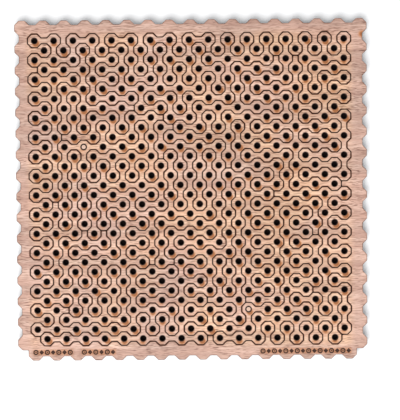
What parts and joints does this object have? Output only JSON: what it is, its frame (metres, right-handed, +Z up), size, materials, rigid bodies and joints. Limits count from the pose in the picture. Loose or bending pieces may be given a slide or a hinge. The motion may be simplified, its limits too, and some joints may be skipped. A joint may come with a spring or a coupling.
{
  "type": "lattice jigsaw puzzle",
  "caption": "Flat wooden puzzle: a scalloped tray on a backing board, filled with loose branching pieces made of octagon cells with a round hole in each.",
  "frame": {"origin": "middle of the underside of the backing board", "axes": "+Z up out of the puzzle's face, +X along the rows of cells, +Y from the near edge (the row of offset scallops) to the far edge"},
  "size_m": [0.15, 0.1454, 0.0053],
  "materials": {
    "frame_veneer": "sanded light veneer, unlacquered, fine grain along X, edges browned by the laser",
    "piece_veneer": "sanded light veneer, unlacquered, fine grain along X, scorched round the holes",
    "backing": "thin board, dark and matt"
  },
  "bodies": {
    "tray": {"backing_board": "backing", "frame": "frame_veneer"},
    "piece_01": {"puzzle_piece_01": "piece_veneer"},
    "piece_02": {"puzzle_piece_02": "piece_veneer"},
    "piece_03": {"puzzle_piece_03": "piece_veneer"},
    "piece_04": {"puzzle_piece_04": "piece_veneer"},
    "piece_05": {"puzzle_piece_05": "piece_veneer"},
    "piece_06": {"puzzle_piece_06": "piece_veneer"},
    "piece_07": {"puzzle_piece_07": "piece_veneer"},
    "piece_08": {"puzzle_piece_08": "piece_veneer"},
    "piece_09": {"puzzle_piece_09": "piece_veneer"},
    "piece_10": {"puzzle_piece_10": "piece_veneer"},
    "piece_11": {"puzzle_piece_11": "piece_veneer"},
    "piece_12": {"puzzle_piece_12": "piece_veneer", "hole_slug_1": "piece_veneer"},
    "piece_13": {"puzzle_piece_13": "piece_veneer"},
    "piece_14": {"puzzle_piece_14": "piece_veneer"},
    "piece_15": {"puzzle_piece_15": "piece_veneer"},
    "piece_16": {"puzzle_piece_16": "piece_veneer"},
    "piece_17": {"puzzle_piece_17": "piece_veneer"},
    "piece_18": {"puzzle_piece_18": "piece_veneer"},
    "piece_19": {"puzzle_piece_19": "piece_veneer"},
    "piece_20": {"puzzle_piece_20": "piece_veneer"},
    "piece_21": {"puzzle_piece_21": "piece_veneer", "hole_slug_2": "piece_veneer"},
    "piece_22": {"puzzle_piece_22": "piece_veneer"},
    "piece_23": {"puzzle_piece_23": "piece_veneer"},
    "piece_24": {"puzzle_piece_24": "piece_veneer"},
    "piece_25": {"puzzle_piece_25": "piece_veneer"},
    "piece_26": {"puzzle_piece_26": "piece_veneer"},
    "piece_27": {"puzzle_piece_27": "piece_veneer"}
  },
  "joints": [
    {"name": "lift_01", "type": "slide", "parent": "tray", "child": "piece_01", "axis": [0, 0, 1], "range_m": [0, 0.012]},
    {"name": "lift_02", "type": "slide", "parent": "tray", "child": "piece_02", "axis": [0, 0, 1], "range_m": [0, 0.012]},
    {"name": "lift_03", "type": "slide", "parent": "tray", "child": "piece_03", "axis": [0, 0, 1], "range_m": [0, 0.012]},
    {"name": "lift_04", "type": "slide", "parent": "tray", "child": "piece_04", "axis": [0, 0, 1], "range_m": [0, 0.012]},
    {"name": "lift_05", "type": "slide", "parent": "tray", "child": "piece_05", "axis": [0, 0, 1], "range_m": [0, 0.012]},
    {"name": "lift_06", "type": "slide", "parent": "tray", "child": "piece_06", "axis": [0, 0, 1], "range_m": [0, 0.012]},
    {"name": "lift_07", "type": "slide", "parent": "tray", "child": "piece_07", "axis": [0, 0, 1], "range_m": [0, 0.012]},
    {"name": "lift_08", "type": "slide", "parent": "tray", "child": "piece_08", "axis": [0, 0, 1], "range_m": [0, 0.012]},
    {"name": "lift_09", "type": "slide", "parent": "tray", "child": "piece_09", "axis": [0, 0, 1], "range_m": [0, 0.012]},
    {"name": "lift_10", "type": "slide", "parent": "tray", "child": "piece_10", "axis": [0, 0, 1], "range_m": [0, 0.012]},
    {"name": "lift_11", "type": "slide", "parent": "tray", "child": "piece_11", "axis": [0, 0, 1], "range_m": [0, 0.012]},
    {"name": "lift_12", "type": "slide", "parent": "tray", "child": "piece_12", "axis": [0, 0, 1], "range_m": [0, 0.012]},
    {"name": "lift_13", "type": "slide", "parent": "tray", "child": "piece_13", "axis": [0, 0, 1], "range_m": [0, 0.012]},
    {"name": "lift_14", "type": "slide", "parent": "tray", "child": "piece_14", "axis": [0, 0, 1], "range_m": [0, 0.012]},
    {"name": "lift_15", "type": "slide", "parent": "tray", "child": "piece_15", "axis": [0, 0, 1], "range_m": [0, 0.012]},
    {"name": "lift_16", "type": "slide", "parent": "tray", "child": "piece_16", "axis": [0, 0, 1], "range_m": [0, 0.012]},
    {"name": "lift_17", "type": "slide", "parent": "tray", "child": "piece_17", "axis": [0, 0, 1], "range_m": [0, 0.012]},
    {"name": "lift_18", "type": "slide", "parent": "tray", "child": "piece_18", "axis": [0, 0, 1], "range_m": [0, 0.012]},
    {"name": "lift_19", "type": "slide", "parent": "tray", "child": "piece_19", "axis": [0, 0, 1], "range_m": [0, 0.012]},
    {"name": "lift_20", "type": "slide", "parent": "tray", "child": "piece_20", "axis": [0, 0, 1], "range_m": [0, 0.012]},
    {"name": "lift_21", "type": "slide", "parent": "tray", "child": "piece_21", "axis": [0, 0, 1], "range_m": [0, 0.012]},
    {"name": "lift_22", "type": "slide", "parent": "tray", "child": "piece_22", "axis": [0, 0, 1], "range_m": [0, 0.012]},
    {"name": "lift_23", "type": "slide", "parent": "tray", "child": "piece_23", "axis": [0, 0, 1], "range_m": [0, 0.012]},
    {"name": "lift_24", "type": "slide", "parent": "tray", "child": "piece_24", "axis": [0, 0, 1], "range_m": [0, 0.012]},
    {"name": "lift_25", "type": "slide", "parent": "tray", "child": "piece_25", "axis": [0, 0, 1], "range_m": [0, 0.012]},
    {"name": "lift_26", "type": "slide", "parent": "tray", "child": "piece_26", "axis": [0, 0, 1], "range_m": [0, 0.012]},
    {"name": "lift_27", "type": "slide", "parent": "tray", "child": "piece_27", "axis": [0, 0, 1], "range_m": [0, 0.012]}
  ]
}
